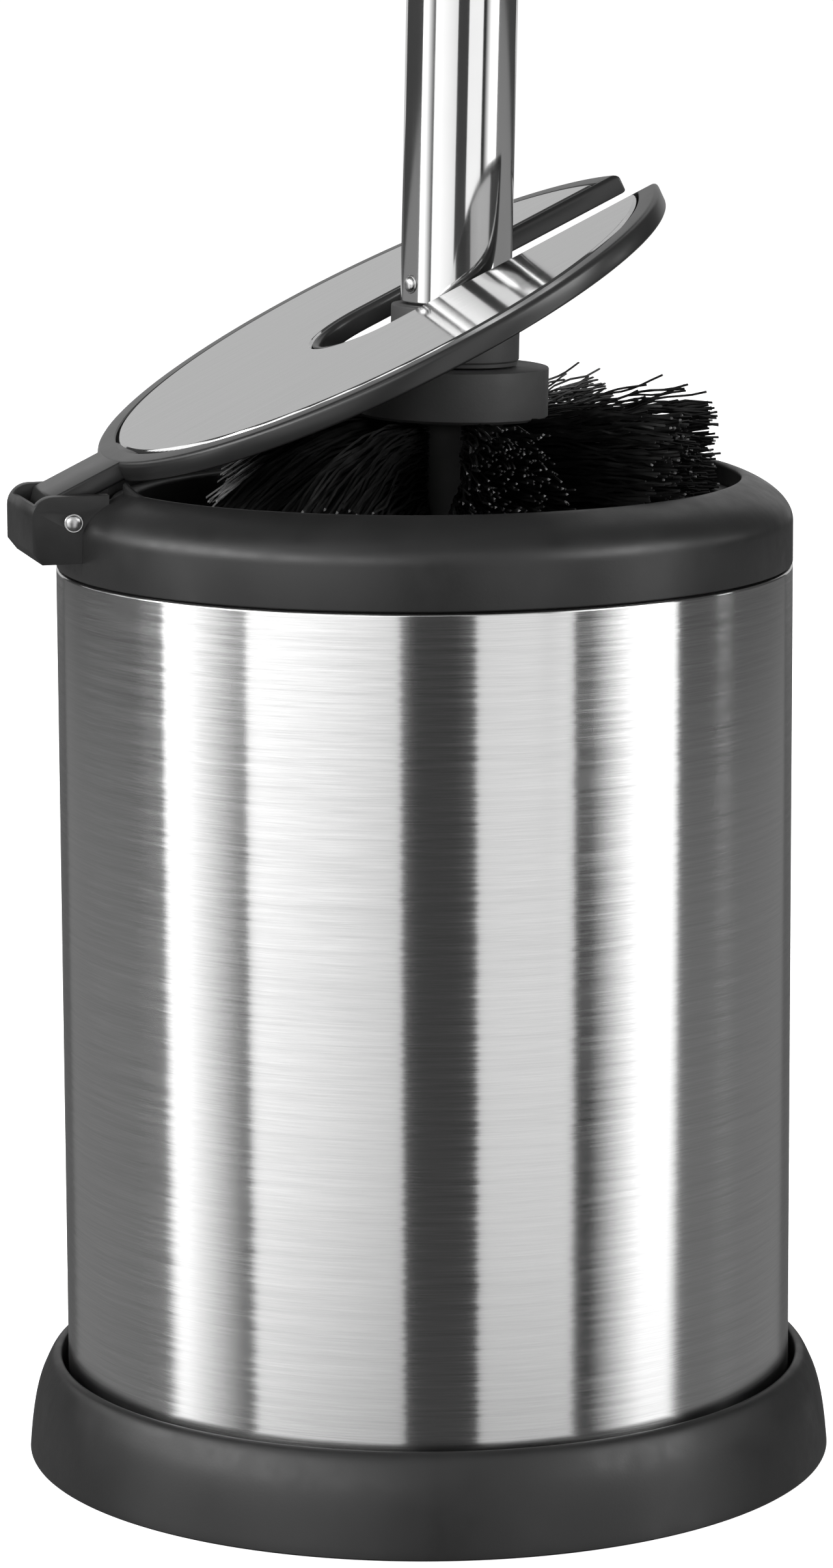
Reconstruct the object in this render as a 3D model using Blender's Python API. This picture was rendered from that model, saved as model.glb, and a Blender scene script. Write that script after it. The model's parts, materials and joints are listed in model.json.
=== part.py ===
"""Toilet brush holder: a steel-cased bucket with a slotted hinged lid and a lifting brush.

Units are metres and +Z is up. The origin is the centre of the foot on the floor, and +X
points from the lid's hinge to the open end of the lid's slot. The brush is drawn partly
lifted, with the lid tilted open above its shoulder.
"""

import math

import bmesh
import bpy
from mathutils import Matrix

MM = 0.001
GAP = 0.3 * MM
ROUND_SEGMENTS = 64
SMALL_SEGMENTS = 28
TINY_SEGMENTS = 16

# Casing
CASE_RADIUS = 55.0 * MM
CASE_WALL = 0.8 * MM
CASE_BOTTOM = 6.0 * MM
CASE_TOP = 135.6 * MM
CASE_FLANGE_RADIUS = 48.0 * MM

# Foot
FOOT_RADIUS = 61.0 * MM
FOOT_UNDERSIDE = 0.1 * MM
FOOT_LEDGE = 5.6 * MM
FOOT_RIM_HEIGHT = 15.0 * MM
FOOT_RIM_RADIUS = 56.0 * MM
FOOT_HOLE_RADIUS = 38.0 * MM
FOOT_SHOULDER_RADIUS = 58.8 * MM
FOOT_SHOULDER_HEIGHT = 11.9 * MM
GRIP_INNER_RADIUS = 50.5 * MM
GRIP_OUTER_RADIUS = 57.5 * MM
GRIP_HEIGHT = 2.2 * MM
PLATE_BOTTOM = 7.2 * MM
PLATE_TOP = 9.4 * MM
SCREW_CIRCLE_RADIUS = 43.5 * MM
SCREW_RADIUS = 1.5 * MM
SCREW_HEAD_RADIUS = 2.8 * MM
SCREW_HEAD_BOTTOM = 1.4 * MM
SCREW_HEAD_TOP = 3.1 * MM
SCREW_TIP = 9.2 * MM
SCREW_COUNT = 3

# Bucket
BUCKET_BOTTOM = 9.8 * MM
BUCKET_WALL = 1.2 * MM
BUCKET_MOUTH_RADIUS = 45.2 * MM
BUCKET_FLOOR_RADIUS = 43.4 * MM
BUCKET_FLANGE_RADIUS = 46.9 * MM
BUCKET_RIM = 145.6 * MM
PEDESTAL_TOP = 41.8 * MM
PEDESTAL_TOP_RADIUS = 11.9 * MM
PEDESTAL_FOOT_RADIUS = 15.9 * MM

# Collar
COLLAR_BOTTOM = 135.9 * MM
COLLAR_SHOULDER = 142.1 * MM
COLLAR_SWEEP = 19.5 * MM
COLLAR_RISE = 8.5 * MM
COLLAR_LIP_RADIUS = 47.9 * MM
COLLAR_OPENING_RADIUS = 47.2 * MM
COLLAR_LEDGE = 144.4 * MM
COLLAR_LEDGE_RADIUS = 45.6 * MM
COLLAR_WEB_UNDERSIDE = 140.2 * MM
SKIRT_BOTTOM = 129.9 * MM
SKIRT_OUTER_RADIUS = 53.8 * MM
SKIRT_INNER_RADIUS = 52.4 * MM

# Hinge, between the two ears of a lug on the collar
PIN_X = -55.3 * MM
PIN_Z = 144.7 * MM
PIN_RADIUS = 0.9 * MM
PIN_BORE_RADIUS = 1.2 * MM
PIN_HEAD_RADIUS = 1.4 * MM
PIN_HEAD_RISE = 0.7 * MM
LUG_BACK_X = -61.4 * MM
LUG_WALL = 1.1 * MM
LUG_HALF_WIDTH = 9.8 * MM
LUG_BOTTOM = 138.7 * MM
LUG_TOP = 148.6 * MM
LUG_BACK_WALL_TOP = 147.2 * MM
LUG_CHAMFER = 1.8 * MM
LUG_CORNER_RADIUS = 3.2 * MM
POCKET_HALF_WIDTH = 7.75 * MM
POCKET_FLOOR = 140.8 * MM

# Lid, measured from the hinge axis with the lid closed: along +X and upwards
LID_TILT = math.radians(25.79)
LID_CENTRE = 55.3 * MM
LID_RADIUS = 46.0 * MM
LID_UNDERSIDE = 1.3 * MM
LID_RIM_TOP = 4.35 * MM
LID_POCKET_FLOOR = 3.0 * MM
LID_EDGE_ROUND = 0.9 * MM
INLAY_RADIUS = 42.4 * MM
INLAY_TOP = 4.5 * MM
INLAY_CHAMFER = 0.4 * MM
SLOT_HALF_WIDTH = 9.3 * MM
SLOT_LIP = 1.2 * MM
ARM_HALF_WIDTH = 7.35 * MM
ARM_LENGTH = 13.0 * MM
ARM_UNDERSIDE = 1.6 * MM
KNUCKLE_RADIUS = 3.4 * MM

# Brush, measured along its own axis from the top of its shoulder disc
BRUSH_X = 4.75 * MM
BRUSH_Z = 165.0 * MM
BRUSH_LEAN = math.radians(1.5)
SHOULDER_RADIUS = 14.1 * MM
SHOULDER_DEPTH = 7.6 * MM
CORE_RADIUS = 8.5 * MM
CORE_DEPTH = 84.0 * MM
NECK_RADIUS = 9.6 * MM
NECK_HEIGHT = 9.1 * MM
SPIGOT_RADIUS = 7.1 * MM
SPIGOT_TOP = 30.0 * MM
HANDLE_RADIUS = 8.25 * MM
HANDLE_WALL = 0.8 * MM
HANDLE_TOP = 238.6 * MM
CAP_HEIGHT = 3.2 * MM
RIVET_HEIGHT = 12.2 * MM
RIVET_ANGLE = math.radians(200.0)
RIVET_RADIUS = 0.9 * MM
RIVET_HEAD_RADIUS = 1.3 * MM
STUD_RADIUS = 2.9 * MM
STUD_BOTTOM = -16.0 * MM
STUD_TOP = 7.5 * MM
BRISTLE_ROWS = 8
BRISTLE_RADIUS = 38.5 * MM
BRISTLE_ROOT_RADIUS = 8.8 * MM
BRISTLE_HALF_ANGLE = math.radians(17.0)
BRISTLE_FIRST_ANGLE = math.radians(44.0)
BRISTLE_BOTTOM = -91.0 * MM
BRISTLE_DROP = 16.6 * MM
BRISTLE_DROP_POWER = 2.2
BRISTLE_CORNER = 9.0 * MM
END_TUFT_BOTTOM = -92.6 * MM


# ---------------------------------------------------------------- helpers

def clear_scene():
    for old in list(bpy.data.objects):
        bpy.data.objects.remove(old, do_unlink=True)


def material(name, colour, roughness, metallic=0.0):
    made = bpy.data.materials.new(name)
    made.use_nodes = True
    shader = made.node_tree.nodes["Principled BSDF"]
    shader.inputs["Base Color"].default_value = (*colour, 1.0)
    shader.inputs["Roughness"].default_value = roughness
    shader.inputs["Metallic"].default_value = metallic
    return made


def frame_empty(name, location, turn_about_y):
    empty = bpy.data.objects.new(name, None)
    bpy.context.collection.objects.link(empty)
    empty.location = location
    empty.rotation_euler = (0.0, turn_about_y, 0.0)
    return empty


def finish_object(name, bm, finish, parent=None):
    """Turn a bmesh into a smooth-shaded object with its faces pointing out."""
    bmesh.ops.recalc_face_normals(bm, faces=bm.faces)
    mesh = bpy.data.meshes.new(name)
    bm.to_mesh(mesh)
    bm.free()
    mesh.shade_smooth()
    mesh.set_sharp_from_angle(angle=math.radians(32.0))
    if finish is not None:
        mesh.materials.append(finish)
    made = bpy.data.objects.new(name, mesh)
    bpy.context.collection.objects.link(made)
    made.parent = parent
    return made


def arc(centre_r, centre_z, radius_r, radius_z, start_deg, end_deg, steps):
    """Points on an elliptical arc, angles counted from +r towards +z."""
    points = []
    for step in range(steps + 1):
        angle = math.radians(start_deg + (end_deg - start_deg) * step / steps)
        points.append((centre_r + radius_r * math.cos(angle),
                       centre_z + radius_z * math.sin(angle)))
    return points


def bezier(start, start_handle, end_handle, end, steps):
    points = []
    for step in range(steps + 1):
        t = step / steps
        weights = ((1 - t) ** 3, 3 * t * (1 - t) ** 2, 3 * t * t * (1 - t), t ** 3)
        corners = (start, start_handle, end_handle, end)
        points.append(tuple(sum(w * c[axis] for w, c in zip(weights, corners))
                            for axis in (0, 1)))
    return points


def turned(name, outline, finish, parent=None, segments=ROUND_SEGMENTS, angle=math.tau):
    """Turn an outline of (radius, height) points about Z.

    An outline that starts and ends on the axis stays open there. A part turn is capped
    at both ends and is centred on the local XZ plane.
    """
    bm = bmesh.new()
    points = [bm.verts.new((radius, 0.0, height)) for radius, height in outline]
    edges = [bm.edges.new(pair) for pair in zip(points, points[1:])]
    on_axis = outline[0][0] == 0.0 and outline[-1][0] == 0.0
    if not on_axis:
        edges.append(bm.edges.new((points[-1], points[0])))
    if angle < math.tau:
        bmesh.ops.rotate(bm, verts=points, cent=(0, 0, 0),
                         matrix=Matrix.Rotation(-angle / 2, 3, "Z"))
        section = [bm.faces.new(points)]
        bmesh.ops.spin(bm, geom=section, cent=(0, 0, 0), axis=(0, 0, 1),
                       angle=angle, steps=segments)
    else:
        bmesh.ops.spin(bm, geom=points + edges, cent=(0, 0, 0), axis=(0, 0, 1),
                       angle=angle, steps=segments, use_merge=True)
    bmesh.ops.remove_doubles(bm, verts=bm.verts, dist=1e-7)
    return finish_object(name, bm, finish, parent)


def extruded(name, corners, travel, finish, parent=None):
    """Extrude a flat polygon of 3-D corners by the vector travel."""
    bm = bmesh.new()
    face = bm.faces.new([bm.verts.new(corner) for corner in corners])
    grown = bmesh.ops.extrude_face_region(bm, geom=[face])
    moved = [item for item in grown["geom"] if isinstance(item, bmesh.types.BMVert)]
    bmesh.ops.translate(bm, verts=moved, vec=travel)
    return finish_object(name, bm, finish, parent)


def side_prism(name, outline, half_width, finish, parent=None):
    """Extrude an outline of (x, z) points along Y, centred on the XZ plane."""
    corners = [(x, -half_width, z) for x, z in outline]
    return extruded(name, corners, (0.0, 2 * half_width, 0.0), finish, parent)


def rod(name, start, direction, length, radius, parent=None, segments=TINY_SEGMENTS):
    """A plain round cutter from a start point along a unit direction."""
    bm = bmesh.new()
    bmesh.ops.create_cone(bm, cap_ends=True, segments=segments,
                          radius1=radius, radius2=radius, depth=length)
    bmesh.ops.translate(bm, verts=bm.verts, vec=(0, 0, length / 2))
    cutter = finish_object(name, bm, None, parent)
    aim_z_along(cutter, start, direction)
    return cutter


def aim_z_along(item, start, direction):
    tilt = math.atan2(math.hypot(direction[0], direction[1]), direction[2])
    heading = math.atan2(direction[1], direction[0])
    item.rotation_euler = (0.0, tilt, heading)
    item.location = start


def combine(target, tool, operation):
    """Join a guide solid to the target, or cut it away, and hide the guide."""
    step = target.modifiers.new(tool.name, "BOOLEAN")
    step.operation = operation
    step.object = tool
    tool.hide_render = True
    tool.display_type = "WIRE"


def domed_head(radius, rise, base, steps=4):
    """Outline of a shallow dome from its rim to its crown on the axis."""
    return arc(0.0, base, radius, rise, 0, 90, steps)[:-1] + [(0.0, base + rise)]


# ---------------------------------------------------------------- holder

def base_ring(plastic):
    shoulder = (FOOT_SHOULDER_RADIUS, FOOT_SHOULDER_HEIGHT)
    side = bezier((FOOT_RADIUS, FOOT_UNDERSIDE), (60.5 * MM, 5.4 * MM), (60.0 * MM, 9.4 * MM),
                  shoulder, 4)
    brow = bezier(shoulder, (58.2 * MM, 13.2 * MM), (57.6 * MM, 14.3 * MM),
                  (56.6 * MM, FOOT_RIM_HEIGHT), 3)
    groove_top = GRIP_HEIGHT + GAP
    outline = side + brow[1:] + [
        (FOOT_RIM_RADIUS, FOOT_RIM_HEIGHT - 0.5 * MM),
        (FOOT_RIM_RADIUS, FOOT_LEDGE),
        (FOOT_HOLE_RADIUS, FOOT_LEDGE),
        (FOOT_HOLE_RADIUS, FOOT_UNDERSIDE),
        (GRIP_INNER_RADIUS - GAP, FOOT_UNDERSIDE),
        (GRIP_INNER_RADIUS - GAP, groove_top),
        (GRIP_OUTER_RADIUS + GAP, groove_top),
        (GRIP_OUTER_RADIUS + GAP, FOOT_UNDERSIDE),
    ]
    ring = turned("base_ring", outline, plastic)
    for index, (x, y) in enumerate(screw_places()):
        shank_hole = rod(f"cut_base_shank_{index}", (x, y, 0.0), (0, 0, 1),
                         10 * MM, SCREW_RADIUS + GAP)
        head_hole = rod(f"cut_base_head_{index}", (x, y, 0.0), (0, 0, 1),
                        SCREW_HEAD_TOP + GAP, SCREW_HEAD_RADIUS + GAP)
        combine(ring, shank_hole, "DIFFERENCE")
        combine(ring, head_hole, "DIFFERENCE")


def anti_slip_ring(rubber):
    bulge = 0.5 * MM
    outline = [
        (GRIP_INNER_RADIUS, GRIP_HEIGHT),
        (GRIP_INNER_RADIUS, bulge),
        (GRIP_INNER_RADIUS + bulge, 0.0),
        (GRIP_OUTER_RADIUS - bulge, 0.0),
        (GRIP_OUTER_RADIUS, bulge),
        (GRIP_OUTER_RADIUS, GRIP_HEIGHT),
    ]
    turned("anti_slip_ring", outline, rubber, segments=48)


def screw_places():
    for index in range(SCREW_COUNT):
        angle = math.tau * (index + 0.5) / SCREW_COUNT
        yield SCREW_CIRCLE_RADIUS * math.cos(angle), SCREW_CIRCLE_RADIUS * math.sin(angle)


def bottom_plate(plastic):
    outline = [
        (0.0, PLATE_BOTTOM),
        (CASE_RADIUS - CASE_WALL - 0.6 * MM, PLATE_BOTTOM),
        (CASE_RADIUS - CASE_WALL - 0.6 * MM, PLATE_TOP),
        (0.0, PLATE_TOP),
    ]
    plate = turned("bottom_plate", outline, plastic, segments=48)
    for index, (x, y) in enumerate(screw_places()):
        hole = rod(f"cut_plate_{index}", (x, y, 0.0), (0, 0, 1), 12 * MM,
                   SCREW_RADIUS + GAP)
        combine(plate, hole, "DIFFERENCE")


def base_screws(steel):
    chamfer = 0.5 * MM
    outline = [
        (0.0, SCREW_HEAD_BOTTOM),
        (SCREW_HEAD_RADIUS - chamfer, SCREW_HEAD_BOTTOM),
        (SCREW_HEAD_RADIUS, SCREW_HEAD_BOTTOM + chamfer),
        (SCREW_HEAD_RADIUS, SCREW_HEAD_TOP),
        (SCREW_RADIUS, SCREW_HEAD_TOP),
        (SCREW_RADIUS, SCREW_TIP - 0.8 * MM),
        (0.0, SCREW_TIP),
    ]
    for index, (x, y) in enumerate(screw_places()):
        screw = turned(f"base_screw_{index + 1}", outline, steel, segments=TINY_SEGMENTS)
        screw.location = (x, y, 0.0)


def outer_shell(steel):
    inner = CASE_RADIUS - CASE_WALL
    corner = 1.2 * MM
    outline = [(CASE_RADIUS, CASE_TOP - 0.3 * MM)]
    outline += arc(CASE_RADIUS - corner, CASE_BOTTOM + corner, corner, corner, 0, -90, 2)
    outline += [
        (CASE_FLANGE_RADIUS, CASE_BOTTOM),
        (CASE_FLANGE_RADIUS, CASE_BOTTOM + CASE_WALL),
        (inner, CASE_BOTTOM + CASE_WALL),
        (inner, CASE_TOP),
        (CASE_RADIUS - 0.3 * MM, CASE_TOP),
    ]
    turned("outer_shell", outline, steel)


def inner_bucket(plastic):
    rim_underside = BUCKET_RIM - BUCKET_WALL
    floor = BUCKET_BOTTOM + 1.4 * MM
    corner = 2.0 * MM
    outline = [
        (0.0, PEDESTAL_TOP - 1.4 * MM),
        (PEDESTAL_TOP_RADIUS - 1.4 * MM, PEDESTAL_TOP - 1.4 * MM),
        (PEDESTAL_FOOT_RADIUS - 1.4 * MM, BUCKET_BOTTOM),
        (BUCKET_FLOOR_RADIUS - corner, BUCKET_BOTTOM),
        (BUCKET_FLOOR_RADIUS, BUCKET_BOTTOM + corner),
        (BUCKET_MOUTH_RADIUS, rim_underside),
        (BUCKET_FLANGE_RADIUS, rim_underside),
        (BUCKET_FLANGE_RADIUS, BUCKET_RIM),
        (BUCKET_MOUTH_RADIUS - BUCKET_WALL, BUCKET_RIM),
        (BUCKET_FLOOR_RADIUS - BUCKET_WALL, floor + corner),
        (BUCKET_FLOOR_RADIUS - BUCKET_WALL - corner, floor),
        (PEDESTAL_FOOT_RADIUS, floor),
        (PEDESTAL_TOP_RADIUS, PEDESTAL_TOP),
        (0.0, PEDESTAL_TOP),
    ]
    turned("inner_bucket", outline, plastic, segments=48)


def collar_outline():
    """Section of the collar: skirt, upright band, swept shoulder, lip and ledge."""
    centre_r = CASE_RADIUS - COLLAR_SWEEP
    lip_angle = math.degrees(math.acos((COLLAR_LIP_RADIUS - centre_r) / COLLAR_SWEEP))
    shoulder = arc(centre_r, COLLAR_SHOULDER, COLLAR_SWEEP, COLLAR_RISE, 0, lip_angle, 6)
    lip_r, lip_z = shoulder[-1]
    return [
        (SKIRT_INNER_RADIUS, COLLAR_WEB_UNDERSIDE),
        (SKIRT_INNER_RADIUS, SKIRT_BOTTOM),
        (SKIRT_OUTER_RADIUS, SKIRT_BOTTOM),
        (SKIRT_OUTER_RADIUS, COLLAR_BOTTOM),
        (CASE_RADIUS, COLLAR_BOTTOM),
    ] + shoulder + [
        ((lip_r + COLLAR_OPENING_RADIUS) / 2, lip_z),
        (COLLAR_OPENING_RADIUS, lip_z - 0.5 * MM),
        (COLLAR_OPENING_RADIUS, COLLAR_LEDGE),
        (COLLAR_LEDGE_RADIUS, COLLAR_LEDGE),
        (COLLAR_LEDGE_RADIUS, COLLAR_WEB_UNDERSIDE),
    ]


def lug_outline():
    """Side view of the hinge lug, from the casing out and back over its top."""
    root_x = -50.0 * MM
    corner = arc(LUG_BACK_X + LUG_CORNER_RADIUS, LUG_TOP - LUG_CORNER_RADIUS,
                 LUG_CORNER_RADIUS, LUG_CORNER_RADIUS, 180, 90, 5)
    return [
        (root_x, LUG_BOTTOM),
        (LUG_BACK_X + LUG_CHAMFER, LUG_BOTTOM),
        (LUG_BACK_X, LUG_BOTTOM + LUG_CHAMFER),
    ] + corner + [(root_x, LUG_TOP)]


def pocket_outline():
    """Side view of the space that the lid's arm swings in."""
    back = LUG_BACK_X + LUG_WALL
    above = LUG_TOP + 6 * MM
    beyond = LUG_BACK_X - 2 * MM
    inside = -44.0 * MM
    notch_floor = PIN_Z - 0.1 * MM
    notch_start = PIN_X + KNUCKLE_RADIUS + 2.6 * MM
    return [
        (back, POCKET_FLOOR),
        (notch_start, POCKET_FLOOR),
        (notch_start, notch_floor),
        (inside, notch_floor),
        (inside, above),
        (beyond, above),
        (beyond, LUG_BACK_WALL_TOP),
        (back, LUG_BACK_WALL_TOP),
    ]


def top_collar(plastic):
    collar = turned("top_collar", collar_outline(), plastic)
    lug = side_prism("join_lug", lug_outline(), LUG_HALF_WIDTH, plastic)
    pocket = side_prism("cut_pocket", pocket_outline(), POCKET_HALF_WIDTH, None)
    bore = rod("cut_pin_bore", (PIN_X, -20 * MM, PIN_Z), (0, 1, 0), 40 * MM,
               PIN_BORE_RADIUS)
    combine(collar, lug, "UNION")
    combine(collar, pocket, "DIFFERENCE")
    combine(collar, bore, "DIFFERENCE")


def hinge_pin(steel):
    """A rivet along the hinge axis with a domed head on each ear."""
    face = LUG_HALF_WIDTH + 0.1 * MM
    half = domed_head(PIN_HEAD_RADIUS, PIN_HEAD_RISE, face)
    top = [(PIN_RADIUS, face)] + half
    bottom = [(radius, -height) for radius, height in reversed(top)]
    pin = turned("hinge_pin", bottom + top, steel, segments=TINY_SEGMENTS)
    aim_z_along(pin, (PIN_X, 0.0, PIN_Z), (0, 1, 0))


# ---------------------------------------------------------------- lid

def arm_outline():
    """Side view of the lid's arm with its knuckle round the hinge axis."""
    knuckle = arc(0.0, 0.0, KNUCKLE_RADIUS, KNUCKLE_RADIUS, 148, 372, 12)
    return [(ARM_LENGTH, LID_RIM_TOP), (-0.8 * MM, LID_RIM_TOP)] + knuckle + [
        (4.6 * MM, ARM_UNDERSIDE), (ARM_LENGTH, ARM_UNDERSIDE)]


def slot_corners(half_width, height):
    """Outline of the lid's slot: a round inner end, open past the rim."""
    far = LID_CENTRE + LID_RADIUS + 5 * MM
    round_end = arc(LID_CENTRE, 0.0, half_width, half_width, 90, 270, 14)
    flat = [(far, half_width)] + round_end + [(far, -half_width)]
    return [(x, y, height) for x, y in flat]


def lid_frame(plastic, hinge):
    round_ = LID_EDGE_ROUND
    floor_radius = INLAY_RADIUS + GAP
    lower_edge = 0.4 * MM
    outline = [(0.0, LID_UNDERSIDE), (LID_RADIUS - lower_edge, LID_UNDERSIDE)]
    outline += [(LID_RADIUS, LID_UNDERSIDE + lower_edge)]
    outline += arc(LID_RADIUS - round_, LID_RIM_TOP - round_, round_, round_, 0, 90, 4)
    outline += [
        (floor_radius, LID_RIM_TOP),
        (floor_radius, LID_POCKET_FLOOR),
        (0.0, LID_POCKET_FLOOR),
    ]
    frame = turned("lid_frame", outline, plastic, hinge)
    frame.data.transform(Matrix.Translation((LID_CENTRE, 0.0, 0.0)))
    arm = side_prism("join_arm", arm_outline(), ARM_HALF_WIDTH, plastic, hinge)
    inlay_space = rod("cut_inlay_space", (LID_CENTRE, 0.0, LID_POCKET_FLOOR), (0, 0, 1),
                      5 * MM, floor_radius, hinge, ROUND_SEGMENTS)
    slot = extruded("cut_frame_slot", slot_corners(SLOT_HALF_WIDTH, -5 * MM),
                    (0, 0, 15 * MM), None, hinge)
    bore = rod("cut_knuckle_bore", (0.0, -20 * MM, 0.0), (0, 1, 0), 40 * MM,
               PIN_BORE_RADIUS, hinge)
    combine(frame, arm, "UNION")
    combine(frame, inlay_space, "DIFFERENCE")
    combine(frame, slot, "DIFFERENCE")
    combine(frame, bore, "DIFFERENCE")


def lid_inlay(steel, hinge):
    bottom = LID_POCKET_FLOOR + GAP
    outline = [
        (0.0, bottom),
        (INLAY_RADIUS, bottom),
        (INLAY_RADIUS, INLAY_TOP - INLAY_CHAMFER),
        (INLAY_RADIUS - INLAY_CHAMFER, INLAY_TOP),
        (0.0, INLAY_TOP),
    ]
    inlay = turned("lid_inlay", outline, steel, hinge)
    inlay.data.transform(Matrix.Translation((LID_CENTRE, 0.0, 0.0)))
    slot = extruded("cut_inlay_slot", slot_corners(SLOT_HALF_WIDTH + SLOT_LIP, -5 * MM),
                    (0, 0, 15 * MM), None, hinge)
    combine(inlay, slot, "DIFFERENCE")


# ---------------------------------------------------------------- brush

def handle_tube(steel, axis):
    inner = HANDLE_RADIUS - HANDLE_WALL
    bottom = NECK_HEIGHT + GAP
    outline = [
        (HANDLE_RADIUS, HANDLE_TOP),
        (HANDLE_RADIUS, bottom),
        (inner, bottom),
        (inner, HANDLE_TOP),
    ]
    tube = turned("handle_tube", outline, steel, axis, SMALL_SEGMENTS)
    combine(tube, rivet_hole("cut_tube_rivet", axis), "DIFFERENCE")


def rivet_hole(name, axis):
    direction = (math.cos(RIVET_ANGLE), math.sin(RIVET_ANGLE), 0.0)
    return rod(name, (3 * MM * direction[0], 3 * MM * direction[1], RIVET_HEIGHT),
               direction, 10 * MM, RIVET_RADIUS + GAP, axis)


def handle_rivet(steel, axis):
    seat = HANDLE_RADIUS + 0.15 * MM
    outline = [(0.0, 4.0 * MM), (RIVET_RADIUS, 4.0 * MM), (RIVET_RADIUS, seat)]
    outline += domed_head(RIVET_HEAD_RADIUS, 0.6 * MM, seat)
    rivet = turned("handle_rivet", outline, steel, axis, TINY_SEGMENTS)
    aim_z_along(rivet, (0.0, 0.0, RIVET_HEIGHT),
                (math.cos(RIVET_ANGLE), math.sin(RIVET_ANGLE), 0.0))


def handle_cap(steel, axis):
    """Domed cap over the tube's top, with a plug inside the tube."""
    seat = HANDLE_TOP + GAP
    plug = HANDLE_RADIUS - HANDLE_WALL - GAP
    outline = [(0.0, HANDLE_TOP - 12 * MM), (plug, HANDLE_TOP - 12 * MM), (plug, seat)]
    outline += [(HANDLE_RADIUS, seat)]
    outline += arc(0.0, seat + 0.8 * MM, HANDLE_RADIUS, CAP_HEIGHT - 0.8 * MM, 0, 90, 5)[:-1]
    outline += [(0.0, seat + CAP_HEIGHT)]
    turned("handle_cap", outline, steel, axis, SMALL_SEGMENTS)


def neck_adapter(plastic, axis):
    """Plug fixed in the handle, with the socket that the brush head screws onto."""
    bore = STUD_RADIUS + GAP
    outline = [
        (0.0, SPIGOT_TOP),
        (SPIGOT_RADIUS, SPIGOT_TOP),
        (SPIGOT_RADIUS, NECK_HEIGHT),
        (NECK_RADIUS - 0.4 * MM, NECK_HEIGHT),
        (NECK_RADIUS, NECK_HEIGHT - 0.4 * MM),
        (NECK_RADIUS, GAP),
        (bore, GAP),
        (bore, STUD_TOP + GAP),
        (0.0, STUD_TOP + GAP),
    ]
    neck = turned("neck_adapter", outline, plastic, axis, SMALL_SEGMENTS)
    combine(neck, rivet_hole("cut_neck_rivet", axis), "DIFFERENCE")


def head_stud(steel, axis):
    chamfer = 0.6 * MM
    outline = [
        (0.0, STUD_BOTTOM),
        (STUD_RADIUS - chamfer, STUD_BOTTOM),
        (STUD_RADIUS, STUD_BOTTOM + chamfer),
        (STUD_RADIUS, STUD_TOP - chamfer),
        (STUD_RADIUS - chamfer, STUD_TOP),
        (0.0, STUD_TOP),
    ]
    turned("head_stud", outline, steel, axis, TINY_SEGMENTS)


def head_core(plastic, axis):
    """The shoulder disc and the spindle that carries the bristles."""
    bore = STUD_RADIUS + GAP
    edge = 0.5 * MM
    outline = [
        (0.0, -CORE_DEPTH),
        (CORE_RADIUS, -CORE_DEPTH),
        (CORE_RADIUS, -SHOULDER_DEPTH),
        (SHOULDER_RADIUS, -SHOULDER_DEPTH),
        (SHOULDER_RADIUS, -edge),
        (SHOULDER_RADIUS - edge, 0.0),
        (bore, 0.0),
        (bore, STUD_BOTTOM - GAP),
        (0.0, STUD_BOTTOM - GAP),
    ]
    turned("head_core", outline, plastic, axis, SMALL_SEGMENTS)


def bristle_outline():
    """Section of one row of bristles, rounded over at the top and at the bottom."""
    top_start = SHOULDER_RADIUS + GAP
    under_disc = -SHOULDER_DEPTH - GAP
    outline = [(BRISTLE_ROOT_RADIUS, under_disc), (top_start, under_disc)]
    steps = 5
    for step in range(1, steps + 1):
        share = step / steps
        radius = top_start + (BRISTLE_RADIUS - top_start) * share
        outline.append((radius, under_disc - BRISTLE_DROP * share ** BRISTLE_DROP_POWER))
    corner = BRISTLE_CORNER
    outline += arc(BRISTLE_RADIUS - corner, BRISTLE_BOTTOM + corner, corner, corner,
                   0, -90, 4)
    outline.append((BRISTLE_ROOT_RADIUS, BRISTLE_BOTTOM))
    return outline


def bristle_rows(bristle, axis):
    for index in range(BRISTLE_ROWS):
        row = turned(f"bristle_row_{index + 1}", bristle_outline(), bristle, axis,
                     4, 2 * BRISTLE_HALF_ANGLE)
        turn = BRISTLE_FIRST_ANGLE + math.tau * index / BRISTLE_ROWS
        row.rotation_euler = (0.0, 0.0, turn)


def end_tuft(bristle, axis):
    """Short bristles that point down below the spindle."""
    top = -CORE_DEPTH - GAP
    radius = CORE_RADIUS - 0.1 * MM
    outline = [(0.0, top), (radius, top), (radius, END_TUFT_BOTTOM + 3 * MM),
               (0.6 * radius, END_TUFT_BOTTOM + 0.8 * MM), (0.0, END_TUFT_BOTTOM)]
    turned("end_tuft", outline, bristle, axis, TINY_SEGMENTS)


# ---------------------------------------------------------------- assembly

def build_holder():
    steel = material("brushed_steel", (0.62, 0.62, 0.62), 0.32, 1.0)
    dark = material("charcoal_plastic", (0.035, 0.035, 0.036), 0.55)
    black = material("black_plastic", (0.012, 0.012, 0.012), 0.5)
    rubber = material("black_rubber", (0.015, 0.015, 0.015), 0.8)
    screw = material("zinc_steel", (0.6, 0.6, 0.58), 0.35, 1.0)
    base_ring(dark)
    anti_slip_ring(rubber)
    bottom_plate(black)
    base_screws(screw)
    outer_shell(steel)
    inner_bucket(black)
    top_collar(dark)
    hinge_pin(screw)


def build_lid():
    dark = material("lid_plastic", (0.03, 0.03, 0.031), 0.5)
    satin = material("satin_steel", (0.42, 0.42, 0.42), 0.3, 1.0)
    hinge = frame_empty("lid_hinge_axis", (PIN_X, 0.0, PIN_Z), -LID_TILT)
    lid_frame(dark, hinge)
    lid_inlay(satin, hinge)


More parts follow.
